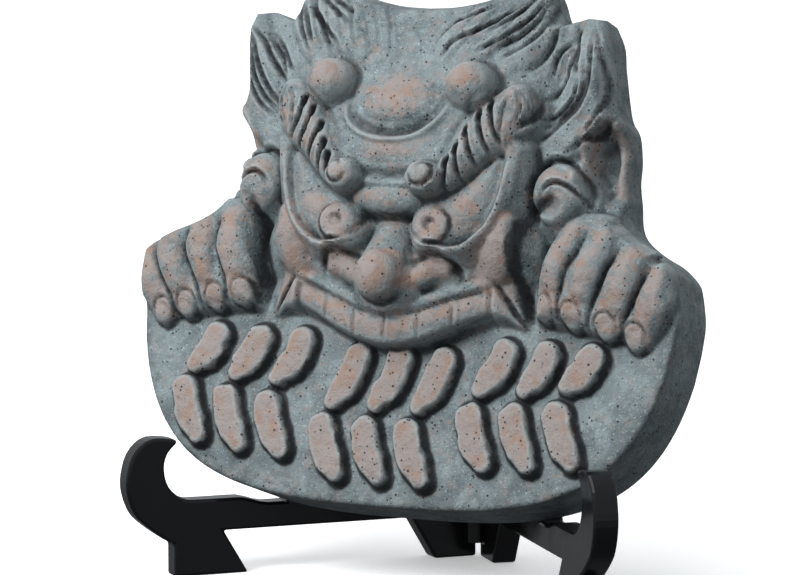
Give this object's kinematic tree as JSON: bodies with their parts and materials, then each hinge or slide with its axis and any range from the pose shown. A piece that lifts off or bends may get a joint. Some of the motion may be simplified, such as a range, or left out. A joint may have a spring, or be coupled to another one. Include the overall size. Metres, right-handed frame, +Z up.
{
  "type": "roof end tile ornament on a folding plate stand",
  "caption": "Fired clay roof end tile with a horned demon face gripping a board, leaning in a black folding plate stand.",
  "frame": {"origin": "middle of the whole object's box, on the ground under the stand's feet", "axes": "+Z up, the face looks towards -Y and leans back towards +Y, +X to the right as one looks at the face"},
  "size_m": [0.1942, 0.098, 0.1948],
  "materials": {
    "clay": "fired clay, smoked blue-grey with bare brown high points",
    "stand_plastic": "glossy black moulding"
  },
  "bodies": {
    "root": {"demon_tile": "clay", "stand_side_left": "stand_plastic", "stand_side_right": "stand_plastic"}
  },
  "joints": []
}
